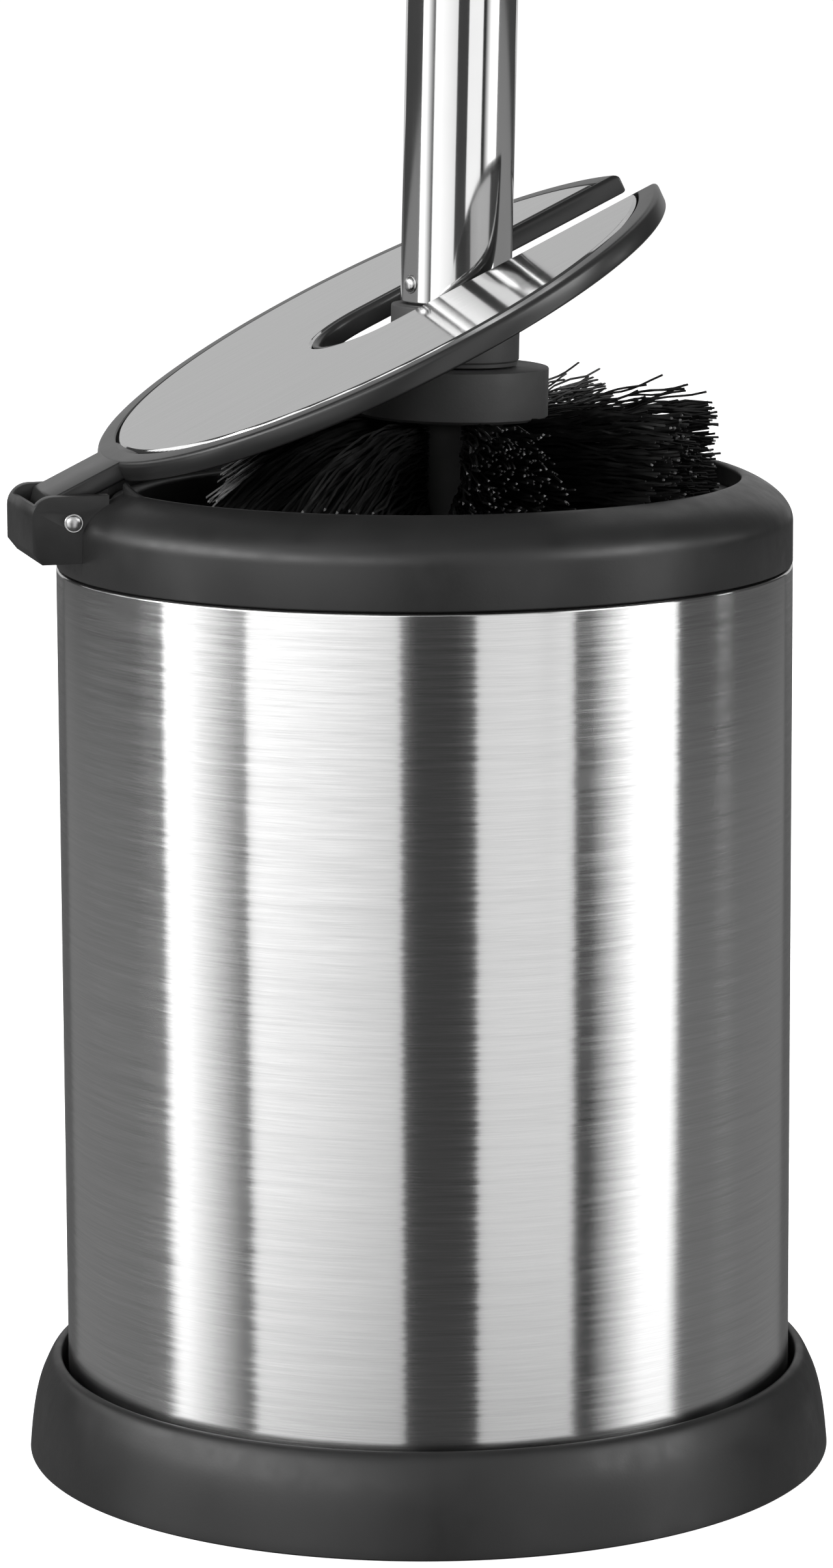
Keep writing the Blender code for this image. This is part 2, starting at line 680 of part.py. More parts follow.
def build_brush():
    polished = material("polished_steel", (0.75, 0.75, 0.74), 0.1, 1.0)
    zinc = material("rivet_steel", (0.65, 0.65, 0.64), 0.25, 1.0)
    grey = material("head_plastic", (0.05, 0.05, 0.05), 0.6)
    nylon = material("black_nylon", (0.006, 0.006, 0.006), 0.45)
    axis = frame_empty("brush_axis", (BRUSH_X, 0.0, BRUSH_Z), BRUSH_LEAN)
    handle_tube(polished, axis)
    handle_rivet(zinc, axis)
    handle_cap(polished, axis)
    neck_adapter(grey, axis)
    head_stud(zinc, axis)
    head_core(grey, axis)
    bristle_rows(nylon, axis)
    end_tuft(nylon, axis)


def main():
    clear_scene()
    build_holder()
    build_lid()
    build_brush()


main()
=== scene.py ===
"""Looks of the toilet brush holder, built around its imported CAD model."""

import json
import math
import random

import bmesh
import bpy
from mathutils import Matrix, Vector


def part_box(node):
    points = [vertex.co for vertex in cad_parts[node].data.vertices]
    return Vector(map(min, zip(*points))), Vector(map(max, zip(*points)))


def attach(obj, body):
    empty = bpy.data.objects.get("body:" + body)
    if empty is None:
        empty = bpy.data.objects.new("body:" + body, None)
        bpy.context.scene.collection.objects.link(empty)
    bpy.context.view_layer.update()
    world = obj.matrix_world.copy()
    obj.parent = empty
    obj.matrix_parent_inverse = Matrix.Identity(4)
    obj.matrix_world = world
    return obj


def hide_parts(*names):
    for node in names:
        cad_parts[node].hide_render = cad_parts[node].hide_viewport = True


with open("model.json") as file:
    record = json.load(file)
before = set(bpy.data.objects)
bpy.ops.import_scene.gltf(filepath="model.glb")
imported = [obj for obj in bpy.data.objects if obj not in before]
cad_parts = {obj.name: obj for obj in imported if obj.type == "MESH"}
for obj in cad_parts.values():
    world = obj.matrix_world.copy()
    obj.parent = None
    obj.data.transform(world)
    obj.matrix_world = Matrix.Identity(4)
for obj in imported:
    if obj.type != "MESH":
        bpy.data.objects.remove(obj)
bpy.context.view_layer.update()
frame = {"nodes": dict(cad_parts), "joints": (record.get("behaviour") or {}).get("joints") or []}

MM = 0.001
HOLDER, LID, BRUSH = "holder", "lid", "brush"

# Where the CAD model has its joints and its main pieces
joints = {joint["name"]: joint for joint in frame["joints"]}
hinge_x, _, hinge_z = joints["lid_hinge"]["pos_m"]
brush_axis = Vector(joints["brush_lift"]["axis"]).normalized()
LID_TILT = math.radians(-joints["lid_hinge"]["range_deg"][0])
shell_low, shell_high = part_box("outer_shell")
foot_low, foot_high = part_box("base_ring")
collar_low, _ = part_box("top_collar")
bucket_low, bucket_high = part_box("inner_bucket")
CASE_RADIUS = shell_high.y
CASE_TOP = shell_high.z
FOOT_RADIUS = foot_high.y

# Camera, at the photograph's viewing angle
CAMERA_AZIMUTH = math.radians(-15.1)
CAMERA_DISTANCE = 0.7998
CAMERA_HEIGHT = 0.2441
CAMERA_PITCH = math.radians(9.381)
CAMERA_ROLL = math.radians(-0.272)
CAMERA_LENS = 123.876
CAMERA_SHIFT = (-0.0056, -0.0423)


# ---------------------------------------------------------------- mesh helpers

def shade(mesh, angle=35.0):
    mesh.shade_smooth()
    mesh.set_sharp_from_angle(angle=math.radians(angle))


def add_object(name, mesh, finish):
    made = bpy.data.objects.new(name, mesh)
    bpy.context.scene.collection.objects.link(made)
    finishes = finish if isinstance(finish, (list, tuple)) else [finish]
    for entry in finishes:
        if entry is not None:
            mesh.materials.append(entry)
    return made


def mesh_from(name, points, faces, finish, angle=35.0):
    mesh = bpy.data.meshes.new(name)
    mesh.from_pydata([tuple(p) for p in points], [], faces)
    bm = bmesh.new()
    bm.from_mesh(mesh)
    bmesh.ops.recalc_face_normals(bm, faces=bm.faces)
    bm.to_mesh(mesh)
    bm.free()
    shade(mesh, angle)
    return add_object(name, mesh, finish)


def arc(centre_r, centre_z, radius_r, radius_z, start_deg, end_deg, steps):
    """Points on an elliptical arc, angles counted from +r towards +z."""
    turns = [math.radians(start_deg + (end_deg - start_deg) * i / steps)
             for i in range(steps + 1)]
    return [(centre_r + radius_r * math.cos(t), centre_z + radius_z * math.sin(t))
            for t in turns]


def bezier(start, start_handle, end_handle, end, steps):
    points = []
    for step in range(steps + 1):
        t = step / steps
        weights = ((1 - t) ** 3, 3 * t * (1 - t) ** 2, 3 * t * t * (1 - t), t ** 3)
        corners = (start, start_handle, end_handle, end)
        points.append(tuple(sum(w * c[axis] for w, c in zip(weights, corners))
                            for axis in (0, 1)))
    return points


def lathe(name, outline, finish, segments=160, angle=35.0):
    """Turn an outline of (radius, height) about Z; points on the axis become poles."""
    points, rings = [], []
    for radius, height in outline:
        if radius < 1e-9:
            rings.append([len(points)] * segments)
            points.append((0.0, 0.0, height))
            continue
        rings.append(range(len(points), len(points) + segments))
        for i in range(segments):
            turn = math.tau * i / segments
            points.append((radius * math.cos(turn), radius * math.sin(turn), height))
    closed = outline[0][0] > 1e-9 or outline[-1][0] > 1e-9
    pairs = list(zip(rings, rings[1:]))
    if closed:
        pairs.append((rings[-1], rings[0]))
    faces = []
    for low, high in pairs:
        for i in range(segments):
            j = (i + 1) % segments
            loop = [low[i], low[j], high[j], high[i]]
            face = list(dict.fromkeys(loop))
            if len(face) > 2:
                faces.append(face)
    return mesh_from(name, points, faces, finish, angle)


def loft(name, loops, finish, angle=35.0):
    """Skin closed loops of equal length and cap both ends."""
    count = len(loops[0])
    points = [point for loop in loops for point in loop]
    faces = []
    for level in range(len(loops) - 1):
        for i in range(count):
            j = (i + 1) % count
            low, high = level * count, (level + 1) * count
            faces.append([low + i, low + j, high + j, high + i])
    faces.append(list(range(count)))
    faces.append([(len(loops) - 1) * count + i for i in range(count)])
    return mesh_from(name, points, faces, finish, angle)


def side_prism(name, outline, half_width, finish):
    """An outline of (x, z) points, extruded along Y and centred on the XZ plane."""
    loops = [[(x, y, z) for x, z in outline] for y in (-half_width, half_width)]
    return loft(name, loops, finish)


def rod_along_y(name, x, z, radius, half_length, finish=None, segments=48):
    ring = [(x + radius * math.cos(math.tau * i / segments),
             z + radius * math.sin(math.tau * i / segments)) for i in range(segments)]
    return side_prism(name, ring, half_length, finish)


def combine(target, tool, operation):
    """Boolean union or difference, applied at once, with the tool removed."""
    step = target.modifiers.new("combine", "BOOLEAN")
    step.operation = operation
    step.object = tool
    apply_modifiers(target)
    bpy.data.objects.remove(tool, do_unlink=True)


def soften(target, width, segments=2, angle=35.0):
    """Round every edge that is sharper than the angle."""
    step = target.modifiers.new("soften", "BEVEL")
    step.width = width
    step.segments = segments
    step.limit_method = "ANGLE"
    step.angle_limit = math.radians(angle)
    step.use_clamp_overlap = True
    step.harden_normals = False
    apply_modifiers(target)
    shade(target.data, angle)


def apply_modifiers(target):
    bpy.context.view_layer.update()
    graph = bpy.context.evaluated_depsgraph_get()
    final = bpy.data.meshes.new_from_object(target.evaluated_get(graph))
    target.modifiers.clear()
    target.data = final


def to_lid(target):
    """Move a piece drawn on the closed lid, from its hinge axis, to the tilted lid."""
    place = Matrix.Translation((hinge_x, 0.0, hinge_z)) @ Matrix.Rotation(-LID_TILT, 4, "Y")
    target.data.transform(place)
    return target


def to_brush(target):
    """Move a piece drawn about Z, from the shoulder disc's top, to the leaning brush."""
    target.data.transform(brush_place)
    return target


def belongs(piece, body, finish_slot, *nodes):
    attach(piece, body)
    if nodes:
        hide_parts(*nodes)
    return piece


# ---------------------------------------------------------------- material helpers

class Shader:
    """A Principled material with short ways to add procedural detail."""

    def __init__(self, name, colour, roughness, metallic=0.0, **sockets):
        self.material = bpy.data.materials.new(name)
        self.material.use_nodes = True
        self.tree = self.material.node_tree
        self.main = self.tree.nodes["Principled BSDF"]
        self.set("Base Color", (*colour, 1.0))
        self.set("Roughness", roughness)
        self.set("Metallic", metallic)
        for socket, value in sockets.items():
            self.set(socket.replace("_", " "), value)
        self.coords = self.node("ShaderNodeTexCoord").outputs["Object"]

    def set(self, socket, value):
        self.main.inputs[socket].default_value = value

    def node(self, kind, **properties):
        made = self.tree.nodes.new(kind)
        for key, value in properties.items():
            setattr(made, key, value)
        return made

    def link(self, start, end):
        self.tree.links.new(start, end)

    def scaled(self, scale, source=None):
        mapping = self.node("ShaderNodeMapping")
        mapping.inputs["Scale"].default_value = scale
        self.link(source or self.coords, mapping.inputs["Vector"])
        return mapping.outputs["Vector"]

    def noise(self, scale, detail=3.0, vector=None, rough=0.5):
        made = self.node("ShaderNodeTexNoise")
        made.inputs["Scale"].default_value = scale
        made.inputs["Detail"].default_value = detail
        made.inputs["Roughness"].default_value = rough
        self.link(vector or self.coords, made.inputs["Vector"])
        return made.outputs["Fac"]

    def spread(self, value, low, high, start=0.3, end=0.7):
        """Map the range start to end of a value onto low to high."""
        made = self.node("ShaderNodeMapRange")
        for key, number in (("From Min", start), ("From Max", end),
                            ("To Min", low), ("To Max", high)):
            made.inputs[key].default_value = number
        self.link(value, made.inputs["Value"])
        return made.outputs["Result"]

    def math(self, operation, first, second):
        made = self.node("ShaderNodeMath", operation=operation)
        for index, value in enumerate((first, second)):
            if isinstance(value, (int, float)):
                made.inputs[index].default_value = value
            else:
                self.link(value, made.inputs[index])
        return made.outputs["Value"]

    def shades(self, value, dark, light, start=0.3, end=0.7):
        """Blend two colours by a value."""
        ramp = self.node("ShaderNodeValToRGB")
        ramp.color_ramp.elements[0].position = start
        ramp.color_ramp.elements[1].position = end
        ramp.color_ramp.elements[0].color = (*dark, 1.0)
        ramp.color_ramp.elements[1].color = (*light, 1.0)
        self.link(value, ramp.inputs["Fac"])
        self.link(ramp.outputs["Color"], self.main.inputs["Base Color"])

    def bump(self, height, strength, distance):
        made = self.node("ShaderNodeBump")
        made.inputs["Strength"].default_value = strength
        made.inputs["Distance"].default_value = distance
        self.link(height, made.inputs["Height"])
        if self.main.inputs["Normal"].is_linked:
            self.link(self.main.inputs["Normal"].links[0].from_socket, made.inputs["Normal"])
        self.link(made.outputs["Normal"], self.main.inputs["Normal"])

    def round_z(self):
        """Coordinates that unroll the surface about Z: metres round, metres up."""
        parts = self.node("ShaderNodeSeparateXYZ")
        self.link(self.coords, parts.inputs["Vector"])
        turn = self.math("ARCTAN2", parts.outputs["Y"], parts.outputs["X"])
        joined = self.node("ShaderNodeCombineXYZ")
        self.link(self.math("MULTIPLY", turn, CASE_RADIUS), joined.inputs["X"])
        self.link(parts.outputs["Z"], joined.inputs["Y"])
        return joined.outputs["Vector"]


def grey(level):
    return (level, level, level)


def moulded_plastic(name, level, roughness, grain=1.0, **sockets):
    """Matte moulded plastic: fine spark grain, faint cloudiness and handling marks."""
    shader = Shader(name, grey(level), roughness, **sockets)
    cloud = shader.noise(38.0, 4.0)
    shader.shades(cloud, grey(level * 0.82), grey(level * 1.18))
    scuffs = shader.noise(160.0, 5.0, rough=0.65)
    shader.link(shader.spread(scuffs, roughness - 0.06 * grain, roughness + 0.08 * grain),
                shader.main.inputs["Roughness"])
    shader.bump(shader.noise(2600.0, 2.0), 0.16 * grain, 0.00006)
    return shader.material


def brushed_steel():
    """Casing steel: strokes run round the girth and tilt the surface a little."""
    shader = Shader("brushed_steel", grey(0.66), 0.19, 1.0, Anisotropic=1.0)
    flat = shader.round_z()
    fine = shader.noise(1.0, 2.0, shader.scaled((110.0, 7000.0, 1.0), flat), 0.6)
    broad = shader.noise(1.0, 3.0, shader.scaled((30.0, 1300.0, 1.0), flat), 0.6)
    strokes = shader.math("ADD", shader.math("MULTIPLY", fine, 0.5),
                          shader.math("MULTIPLY", broad, 0.5))
    shader.shades(strokes, grey(0.58), grey(0.72), 0.35, 0.65)
    shader.link(shader.spread(strokes, 0.16, 0.22), shader.main.inputs["Roughness"])
    tangent = shader.node("ShaderNodeTangent", direction_type="RADIAL", axis="Z")
    shader.link(tangent.outputs["Tangent"], shader.main.inputs["Tangent"])
    shader.set("Anisotropic Rotation", 0.25)
    normal = shader.node("ShaderNodeNewGeometry").outputs["Normal"]
    sway = shader.node("ShaderNodeVectorMath", operation="SCALE")
    shader.link(tangent.outputs["Tangent"], sway.inputs[0])
    shader.link(shader.spread(broad, -0.006, 0.006, 0.25, 0.75), sway.inputs["Scale"])
    leaned = shader.node("ShaderNodeVectorMath", operation="ADD")
    shader.link(normal, leaned.inputs[0])
    shader.link(sway.outputs["Vector"], leaned.inputs[1])
    straight = shader.node("ShaderNodeVectorMath", operation="NORMALIZE")
    shader.link(leaned.outputs["Vector"], straight.inputs[0])
    shader.link(straight.outputs["Vector"], shader.main.inputs["Normal"])
    return shader.material


def satin_steel():
    """Lid sheet: nearly mirror-flat, with hairlines along X."""
    shader = Shader("satin_steel", grey(0.6), 0.07, 1.0)
    hair = shader.noise(1.0, 3.0, shader.scaled((60.0, 2600.0, 60.0)), 0.6)
    shader.shades(hair, grey(0.58), grey(0.64))
    shader.link(shader.spread(hair, 0.055, 0.09), shader.main.inputs["Roughness"])
    return shader.material


def polished_steel():
    """Handle tube: drawn and polished, with faint lengthwise lines and smudges."""
    shader = Shader("polished_steel", grey(0.82), 0.08, 1.0)
    drawn = shader.noise(1.0, 2.0, shader.scaled((900.0, 900.0, 14.0)), 0.6)
    smudge = shader.noise(45.0, 4.0, rough=0.6)
    shader.shades(smudge, grey(0.78), grey(0.84))
    both = shader.math("ADD", shader.math("MULTIPLY", drawn, 0.5),
                       shader.math("MULTIPLY", smudge, 0.5))
    shader.link(shader.spread(both, 0.05, 0.13), shader.main.inputs["Roughness"])
    return shader.material


def small_steel(name, level, roughness):
    """Rivets, studs and screws: turned steel with a mottled plating."""
    shader = Shader(name, grey(level), roughness, 1.0)
    mottle = shader.noise(900.0, 4.0)
    shader.shades(mottle, grey(level * 0.8), grey(level * 1.1))
    shader.link(shader.spread(mottle, roughness - 0.06, roughness + 0.1),
                shader.main.inputs["Roughness"])
    shader.bump(mottle, 0.1, 0.00004)
    return shader.material


def rubber():
    shader = Shader("black_rubber", grey(0.015), 0.75)
    dust = shader.noise(220.0, 5.0, rough=0.7)
    shader.shades(dust, grey(0.011), grey(0.03), 0.4, 0.75)
    shader.link(shader.spread(dust, 0.68, 0.85), shader.main.inputs["Roughness"])
    shader.bump(shader.noise(1400.0, 3.0), 0.25, 0.0001)
    return shader.material


def nylon(name, level, roughness):
    """Bristle nylon: strands differ a little in tone and gloss."""
    shader = Shader(name, grey(level), roughness)
    tone = shader.noise(420.0, 3.0)
    shader.shades(tone, grey(level * 0.6), grey(level * 1.6))
    shader.link(shader.spread(tone, roughness - 0.08, roughness + 0.1),
                shader.main.inputs["Roughness"])
    return shader.material


# ---------------------------------------------------------------- holder pieces

CASE_WALL = 0.8 * MM
CASE_FLANGE_RADIUS = 48.0 * MM
CASE_FOLD = 1.2 * MM
CASE_EDGE = 0.35 * MM


def make_shell(steel):
    inner = CASE_RADIUS - CASE_WALL
    low = shell_low.z
    outline = [(CASE_RADIUS, CASE_TOP - CASE_EDGE)]
    outline += arc(CASE_RADIUS - CASE_FOLD, low + CASE_FOLD, CASE_FOLD, CASE_FOLD, 0, -90, 5)
    outline += [(CASE_FLANGE_RADIUS, low), (CASE_FLANGE_RADIUS, low + CASE_WALL)]
    outline += [(inner, low + CASE_WALL), (inner, CASE_TOP)]
    outline += arc(CASE_RADIUS - CASE_EDGE, CASE_TOP - CASE_EDGE, CASE_EDGE, CASE_EDGE, 90, 15, 4)
    shell = lathe("casing_steel", outline, steel, 256, 50.0)
    return belongs(shell, HOLDER, "brushed_steel", "outer_shell")


FOOT_SHOULDER = (58.8 * MM, 11.9 * MM)
FOOT_FLOOR = 5.6 * MM
FOOT_BORE = 38.0 * MM
FOOT_CORNER = 0.3 * MM
RUBBER_INNER, RUBBER_OUTER = 50.2 * MM, 57.8 * MM
RUBBER_SEAT = 2.5 * MM


def make_foot(plastic):
    low, high = foot_low.z, foot_high.z
    side = bezier((FOOT_RADIUS, low + FOOT_CORNER), (60.6 * MM, 5.6 * MM), (60.0 * MM, 9.4 * MM),
                  FOOT_SHOULDER, 10)
    brow = bezier(FOOT_SHOULDER, (58.2 * MM, 13.2 * MM), (57.6 * MM, 14.7 * MM),
                  (56.8 * MM, high - 0.1 * MM), 8)
    outline = side + brow[1:] + arc(56.5 * MM, high - 0.5 * MM, 0.5 * MM, 0.5 * MM, 75, 180, 5)
    outline += [(56.0 * MM, FOOT_FLOOR), (FOOT_BORE, FOOT_FLOOR), (FOOT_BORE, low)]
    outline += [(RUBBER_INNER, low), (RUBBER_INNER, RUBBER_SEAT)]
    outline += [(RUBBER_OUTER, RUBBER_SEAT), (RUBBER_OUTER, low)]
    outline += arc(FOOT_RADIUS - FOOT_CORNER, low + FOOT_CORNER, FOOT_CORNER, FOOT_CORNER,
                   -90, -15, 3)
    foot = lathe("foot_ring", outline, plastic, 256)
    return belongs(foot, HOLDER, "charcoal_plastic", "base_ring")


COLLAR_SHOULDER = CASE_TOP + 6.5 * MM
COLLAR_SWEEP, COLLAR_RISE = 19.5 * MM, 8.5 * MM
LIP_RADIUS = 48.0 * MM
LIP_OPENING = 47.2 * MM
LUG_BOTTOM, LUG_TOP, LUG_HALF_WIDTH = 138.7 * MM, 148.6 * MM, 9.8 * MM
POCKET_HALF_WIDTH = 7.75 * MM
PIN_BORE, BORE_HALF_LENGTH = 1.2 * MM, 20.0 * MM


def collar_outline():
    band_low = CASE_TOP + 0.3 * MM
    centre_r = CASE_RADIUS - COLLAR_SWEEP
    lip_angle = math.degrees(math.acos((LIP_RADIUS - centre_r) / COLLAR_SWEEP))
    shoulder = arc(centre_r, COLLAR_SHOULDER, COLLAR_SWEEP, COLLAR_RISE, 0, lip_angle, 18)
    end_r, end_z = shoulder[-1]
    lip = bezier((end_r, end_z), (end_r - 0.5 * MM, end_z + 0.1 * MM),
                 (LIP_OPENING, end_z), (LIP_OPENING, end_z - 0.7 * MM), 6)
    ledge, web, skirt = 144.4 * MM, 140.2 * MM, collar_low.z
    outline = [(52.4 * MM, web), (52.4 * MM, skirt), (53.8 * MM, skirt), (53.8 * MM, band_low)]
    outline += [(54.8 * MM, band_low), (54.95 * MM, band_low + 0.08 * MM),
                (CASE_RADIUS, band_low + 0.25 * MM)]
    outline += shoulder + lip[1:]
    outline += [(LIP_OPENING, ledge + 0.3 * MM), (46.9 * MM, ledge), (45.6 * MM, ledge)]
    return outline + [(45.6 * MM, web)]


def lip_ear(side, plastic):
    """The lip's raised end beside the lid's arm, falling away along the lip."""
    top = COLLAR_SHOULDER + 6.5 * MM
    loops = []
    for step in range(7):
        turn = math.radians(180.0 + side * (9.4 + 7.6 * step / 6))
        peak = top + 1.5 * MM * (1 - step / 6) ** 1.3
        ring = [(47.3 * MM, top - 2.0 * MM), (47.3 * MM, peak - 0.3 * MM),
                (47.6 * MM, peak), (47.9 * MM, peak), (48.2 * MM, peak - 0.3 * MM),
                (48.2 * MM, top - 2.0 * MM)]
        loops.append([(r * math.cos(turn), r * math.sin(turn), z) for r, z in ring])
    return loft("lip_ear", loops, plastic)


def lug_outline(back, bottom, top, root):
    outline = [(root, bottom), (back + 1.4 * MM, bottom), (back, bottom + 1.8 * MM)]
    outline += arc(back + 3.2 * MM, top - 3.2 * MM, 3.2 * MM, 3.2 * MM, 180, 90, 8)
    return outline + [(root, top)]


def pocket_outline(back, inner_back):
    """Side view of the space that the lid's arm swings in."""
    floor = 140.8 * MM
    notch = hinge_x + 6.0 * MM
    inside, above, wall_top = -44.0 * MM, 155.0 * MM, 147.2 * MM
    return [(inner_back, floor), (notch, floor), (notch, hinge_z - 0.1 * MM),
            (inside, hinge_z - 0.1 * MM), (inside, above), (back - 2.0 * MM, above),
            (back - 2.0 * MM, wall_top), (inner_back, wall_top)]


def make_collar(plastic):
    collar = lathe("collar", collar_outline(), plastic, 256)
    back = collar_low.x
    lug_side = lug_outline(back, LUG_BOTTOM, LUG_TOP, -50.0 * MM)
    lug = side_prism("lug", lug_side, LUG_HALF_WIDTH, plastic)
    pocket_side = pocket_outline(back, back + 1.1 * MM)
    pocket = side_prism("pocket", pocket_side, POCKET_HALF_WIDTH, plastic)
    bore = rod_along_y("bore", hinge_x, hinge_z, PIN_BORE, BORE_HALF_LENGTH, plastic)
    combine(collar, lug, "UNION")
    for side in (-1, 1):
        combine(collar, lip_ear(side, plastic), "UNION")
    combine(collar, pocket, "DIFFERENCE")
    combine(collar, bore, "DIFFERENCE")
    soften(collar, 0.25 * MM, 2)
    return belongs(collar, HOLDER, "charcoal_plastic", "top_collar")


def make_bucket(plastic):
    rim, base = bucket_high.z, bucket_low.z
    pedestal = 41.8 * MM
    outline = [(0.0, pedestal - 1.4 * MM), (10.5 * MM, pedestal - 1.4 * MM), (14.5 * MM, base)]
    outline += [(41.4 * MM, base), (43.4 * MM, base + 2.0 * MM), (45.2 * MM, rim - 1.2 * MM)]
    outline += arc(46.4 * MM, rim - 0.6 * MM, 0.5 * MM, 0.6 * MM, -90, 90, 6)
    outline += arc(44.6 * MM, rim - 0.6 * MM, 0.6 * MM, 0.6 * MM, 90, 180, 4)
    outline += arc(40.2 * MM, base + 3.4 * MM, 2.0 * MM, 2.0 * MM, 0, -90, 4)
    outline += [(16.6 * MM, base + 1.4 * MM), (15.6 * MM, base + 2.0 * MM)]
    outline += [(12.3 * MM, pedestal - 1.0 * MM), (11.3 * MM, pedestal), (0.0, pedestal)]
    bucket = lathe("bucket", outline, plastic, 128)
    return belongs(bucket, HOLDER, "black_plastic", "inner_bucket")


def rivet_outline(shank, head, rise, seat, tail):
    """A round rivet along Z with a low domed head on a thin rim."""
    outline = [(0.0, tail), (shank, tail), (shank, seat), (head - 0.05 * MM, seat)]
    outline += [(head, seat + 0.08 * MM), (head - 0.08 * MM, seat + 0.18 * MM)]
    outline += arc(0.0, seat + 0.18 * MM, head - 0.22 * MM, rise - 0.18 * MM, 0, 88, 8)
    return outline + [(0.0, seat + rise)]


def aim(piece, start, direction):
    """Turn a piece drawn along Z so that it starts at a point and runs along a direction."""
    turn = Vector((0, 0, 1)).rotation_difference(Vector(direction).normalized())
    piece.data.transform(Matrix.Translation(start) @ turn.to_matrix().to_4x4())
    return piece


def make_hinge_pin(steel):
    seat = 9.85 * MM
    half = rivet_outline(0.9 * MM, 1.4 * MM, 0.7 * MM, seat, 0.0)[2:]
    outline = [(r, -z) for r, z in reversed(half)] + half
    pin = lathe("hinge_rivet", outline, steel, 40)
    aim(pin, (hinge_x, 0.0, hinge_z), (0.0, 1.0, 0.0))
    return belongs(pin, HOLDER, "zinc_steel", "hinge_pin")


# ---------------------------------------------------------------- lid pieces

LID_CENTRE = 55.3 * MM
LID_RADIUS = 46.0 * MM
SLOT_HALF_WIDTH = 9.3 * MM
LID_UNDERSIDE, LID_RIM_TOP = 1.3 * MM, 4.35 * MM
LOWER_ROUND, UPPER_ROUND = 0.4 * MM, 0.85 * MM
POCKET_RADIUS, POCKET_FLOOR = 42.8 * MM, 3.0 * MM
INLAY_RADIUS, INLAY_SLOT = 42.4 * MM, 10.5 * MM
INLAY_BOTTOM, INLAY_TOP = 3.3 * MM, 4.5 * MM
KNUCKLE_RADIUS = 3.4 * MM
ARM_HALF_WIDTH = 7.35 * MM
ARM_END = 13.4 * MM
PRONG_CORNER = 0.3 * MM


def slotted_disc(radius, slot, height, corner=PRONG_CORNER):
    """Outline of the lid: a disc with a slot from its centre out through +X.

    The slot ends in a half circle at the centre, and the prongs end in crisp corners.
    """
    tip_x = math.sqrt((radius - corner) ** 2 - (slot + corner) ** 2)
    lean = math.degrees(math.atan2(slot + corner, tip_x))
    loop = arc(0.0, 0.0, slot, slot, 90, 270, 24)
    loop += [(tip_x * share, -slot) for share in (0.25, 0.5, 0.75)]
    loop += arc(tip_x, -slot - corner, corner, corner, 90, -lean, 5)
    loop += arc(0.0, 0.0, radius, radius, -lean - 1.0, lean + 1.0 - 360, 140)
    loop += arc(tip_x, slot + corner, corner, corner, lean, -90, 5)
    loop += [(tip_x * share, slot) for share in (0.75, 0.5, 0.25)]
    return [(LID_CENTRE + x, y, height) for x, y in loop]


def make_lid_frame(plastic):
    slot, top = SLOT_HALF_WIDTH, LID_RIM_TOP
    loops = []
    for turn in (0, 30, 60, 90):
        inset = LOWER_ROUND * (1 - math.sin(math.radians(turn)))
        rise = LOWER_ROUND * (1 - math.cos(math.radians(turn)))
        loops.append(slotted_disc(LID_RADIUS - inset, slot + 0.5 * inset, LID_UNDERSIDE + rise))
    for turn in (0, 22, 45, 68, 90):
        inset = UPPER_ROUND * (1 - math.cos(math.radians(turn)))
        rise = UPPER_ROUND * math.sin(math.radians(turn))
        loops.append(slotted_disc(LID_RADIUS - inset, slot + inset, top - UPPER_ROUND + rise))
    loops.append(slotted_disc(43.0 * MM, slot + 0.9 * MM, top))
    pocket_slot = slot + 1.05 * MM
    loops.append(slotted_disc(POCKET_RADIUS, pocket_slot, top - 0.15 * MM))
    loops.append(slotted_disc(POCKET_RADIUS, pocket_slot, POCKET_FLOOR))
    lid = to_lid(loft("lid_disc", loops, plastic))
    return belongs(lid, LID, "lid_plastic", "lid_frame")


def make_lid_arm(plastic):
    knuckle = arc(0.0, 0.0, KNUCKLE_RADIUS, KNUCKLE_RADIUS, 148, 372, 16)
    outline = [(ARM_END, 4.3 * MM), (-0.8 * MM, 4.3 * MM)] + knuckle
    outline += [(4.8 * MM, 1.65 * MM), (ARM_END, 1.65 * MM)]
    arm = side_prism("lid_arm", outline, ARM_HALF_WIDTH, plastic)
    bore = rod_along_y("bore", 0.0, 0.0, PIN_BORE, BORE_HALF_LENGTH, plastic)
    combine(arm, bore, "DIFFERENCE")
    soften(arm, 0.35 * MM, 3)
    return belongs(to_lid(arm), LID, "lid_plastic")


def make_inlay(steel):
    loops = [slotted_disc(INLAY_RADIUS, INLAY_SLOT, INLAY_BOTTOM)]
    for inset, drop in ((0.0, 0.42), (0.05, 0.35), (0.35, 0.05), (0.43, 0.0), (0.6, 0.0)):
        loops.append(slotted_disc(INLAY_RADIUS - inset * MM, INLAY_SLOT + inset * MM,
                                  INLAY_TOP - drop * MM))
    inlay = to_lid(loft("lid_plate", loops, steel, 25.0))
    return belongs(inlay, LID, "satin_steel", "lid_inlay")


# ---------------------------------------------------------------- brush pieces

BRUSH_ORIGIN = Vector((4.75 * MM, 0.0, 165.0 * MM))
brush_place = (Matrix.Translation(BRUSH_ORIGIN)
               @ Vector((0, 0, 1)).rotation_difference(brush_axis).to_matrix().to_4x4())
HANDLE_RADIUS = 8.25 * MM
HANDLE_TOP = 238.6 * MM
CORE_RADIUS, CORE_DEPTH = 8.5 * MM, 84.0 * MM
DISC_RADIUS, DISC_DEPTH = 14.1 * MM, 7.6 * MM


